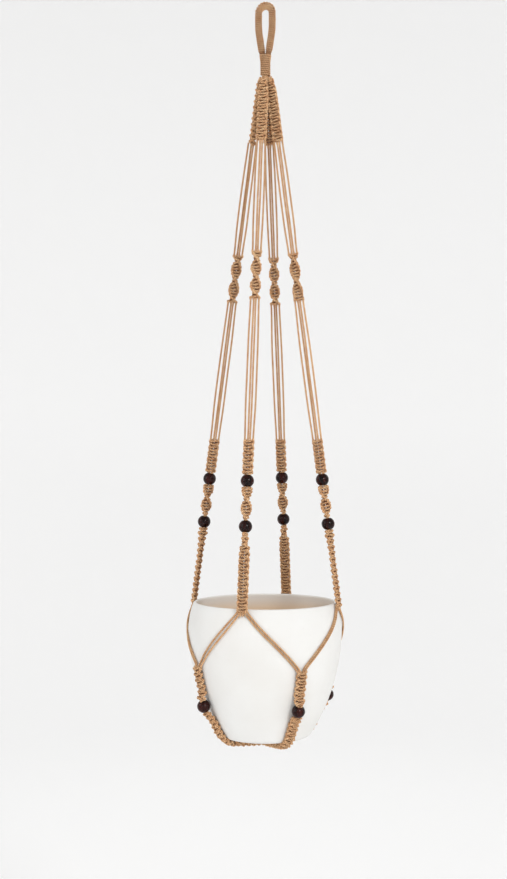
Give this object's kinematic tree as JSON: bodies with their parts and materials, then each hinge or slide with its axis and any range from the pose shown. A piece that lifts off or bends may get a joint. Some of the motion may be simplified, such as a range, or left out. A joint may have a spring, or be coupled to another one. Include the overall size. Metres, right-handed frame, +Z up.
{
  "type": "hanging macrame planter",
  "caption": "Macrame plant hanger of knotted tan cord with dark wooden beads, holding a round ceramic pot below a wrapped loop.",
  "frame": {"origin": "inner top of the hanging loop's eye, where the hook bears", "axes": "+Z up along the planter's axis, +X to the right seen from the front, -Y towards the front leg; the loop lies in the XZ plane"},
  "size_m": [0.2316, 0.2316, 1.0929],
  "materials": {
    "cord": "matte",
    "bead_wood": "gloss",
    "pot_ceramic": "matte"
  },
  "bodies": {
    "loop": {"loop_core": "cord", "loop_wrap": "cord", "neck_core": "cord", "neck_wrap": "cord"},
    "hanger": {"top_sennit_front": "cord", "upper_cords_front": "cord", "spiral_front": "cord", "middle_cords_front": "cord", "square_sennit_front": "cord", "twist_sennit_front": "cord", "long_sennit_front": "cord", "net_cords_front": "cord", "top_sennit_right": "cord", "upper_cords_right": "cord", "spiral_right": "cord", "middle_cords_right": "cord", "square_sennit_right": "cord", "twist_sennit_right": "cord", "long_sennit_right": "cord", "net_cords_right": "cord", "top_sennit_back": "cord", "upper_cords_back": "cord", "spiral_back": "cord", "middle_cords_back": "cord", "square_sennit_back": "cord", "twist_sennit_back": "cord", "long_sennit_back": "cord", "net_cords_back": "cord", "top_sennit_left": "cord", "upper_cords_left": "cord", "spiral_left": "cord", "middle_cords_left": "cord", "square_sennit_left": "cord", "twist_sennit_left": "cord", "long_sennit_left": "cord", "net_cords_left": "cord", "join_sennit_front_right": "cord", "under_sennit_front_right": "cord", "join_sennit_back_right": "cord", "under_sennit_back_right": "cord", "join_sennit_back_left": "cord", "under_sennit_back_left": "cord", "join_sennit_front_left": "cord", "under_sennit_front_left": "cord", "base_knot": "cord"},
    "pot": {"pot": "pot_ceramic"},
    "upper_bead_front": {"upper_bead_front": "bead_wood"},
    "lower_bead_front": {"lower_bead_front": "bead_wood"},
    "upper_bead_right": {"upper_bead_right": "bead_wood"},
    "lower_bead_right": {"lower_bead_right": "bead_wood"},
    "upper_bead_back": {"upper_bead_back": "bead_wood"},
    "lower_bead_back": {"lower_bead_back": "bead_wood"},
    "upper_bead_left": {"upper_bead_left": "bead_wood"},
    "lower_bead_left": {"lower_bead_left": "bead_wood"},
    "cradle_bead_front_right": {"cradle_bead_front_right": "bead_wood"},
    "cradle_bead_back_right": {"cradle_bead_back_right": "bead_wood"},
    "cradle_bead_back_left": {"cradle_bead_back_left": "bead_wood"},
    "cradle_bead_front_left": {"cradle_bead_front_left": "bead_wood"}
  },
  "joints": [
    {"name": "sway", "type": "hinge", "parent": "loop", "child": "hanger", "pos_m": [0, 0, -0.1017], "axis": [1, 0, 0], "range_deg": [-12, 12]},
    {"name": "pot_turn", "type": "hinge", "parent": "hanger", "child": "pot", "pos_m": [0, 0, -0.90831], "axis": [0, 0, 1], "continuous": true},
    {"name": "upper_bead_front_spin", "type": "hinge", "parent": "hanger", "child": "upper_bead_front", "pos_m": [0, -0.08674, -0.69138], "axis": [0, -0.1337, -0.991], "continuous": true},
    {"name": "lower_bead_front_spin", "type": "hinge", "parent": "hanger", "child": "lower_bead_front", "pos_m": [0, -0.09538, -0.7554], "axis": [0, -0.1337, -0.991], "continuous": true},
    {"name": "upper_bead_right_spin", "type": "hinge", "parent": "hanger", "child": "upper_bead_right", "pos_m": [0.08674, 0, -0.69138], "axis": [0.1337, 0, -0.991], "continuous": true},
    {"name": "lower_bead_right_spin", "type": "hinge", "parent": "hanger", "child": "lower_bead_right", "pos_m": [0.09538, 0, -0.7554], "axis": [0.1337, 0, -0.991], "continuous": true},
    {"name": "upper_bead_back_spin", "type": "hinge", "parent": "hanger", "child": "upper_bead_back", "pos_m": [0, 0.08674, -0.69138], "axis": [0, 0.1337, -0.991], "continuous": true},
    {"name": "lower_bead_back_spin", "type": "hinge", "parent": "hanger", "child": "lower_bead_back", "pos_m": [0, 0.09538, -0.7554], "axis": [0, 0.1337, -0.991], "continuous": true},
    {"name": "upper_bead_left_spin", "type": "hinge", "parent": "hanger", "child": "upper_bead_left", "pos_m": [-0.08674, 0, -0.69138], "axis": [-0.1337, 0, -0.991], "continuous": true},
    {"name": "lower_bead_left_spin", "type": "hinge", "parent": "hanger", "child": "lower_bead_left", "pos_m": [-0.09538, 0, -0.7554], "axis": [-0.1337, 0, -0.991], "continuous": true},
    {"name": "cradle_bead_front_right_spin", "type": "hinge", "parent": "hanger", "child": "cradle_bead_front_right", "pos_m": [0.07121, -0.07374, -1.01582], "axis": [-0.2485, 0.2574, -0.9338], "continuous": true},
    {"name": "cradle_bead_back_right_spin", "type": "hinge", "parent": "hanger", "child": "cradle_bead_back_right", "pos_m": [0.07677, 0.06792, -1.01582], "axis": [-0.268, -0.2371, -0.9338], "continuous": true},
    {"name": "cradle_bead_back_left_spin", "type": "hinge", "parent": "hanger", "child": "cradle_bead_back_left", "pos_m": [-0.07248, 0.07248, -1.01582], "axis": [0.253, -0.253, -0.9338], "continuous": true},
    {"name": "cradle_bead_front_left_spin", "type": "hinge", "parent": "hanger", "child": "cradle_bead_front_left", "pos_m": [-0.06925, -0.07558, -1.01582], "axis": [0.2417, 0.2638, -0.9338], "continuous": true}
  ]
}
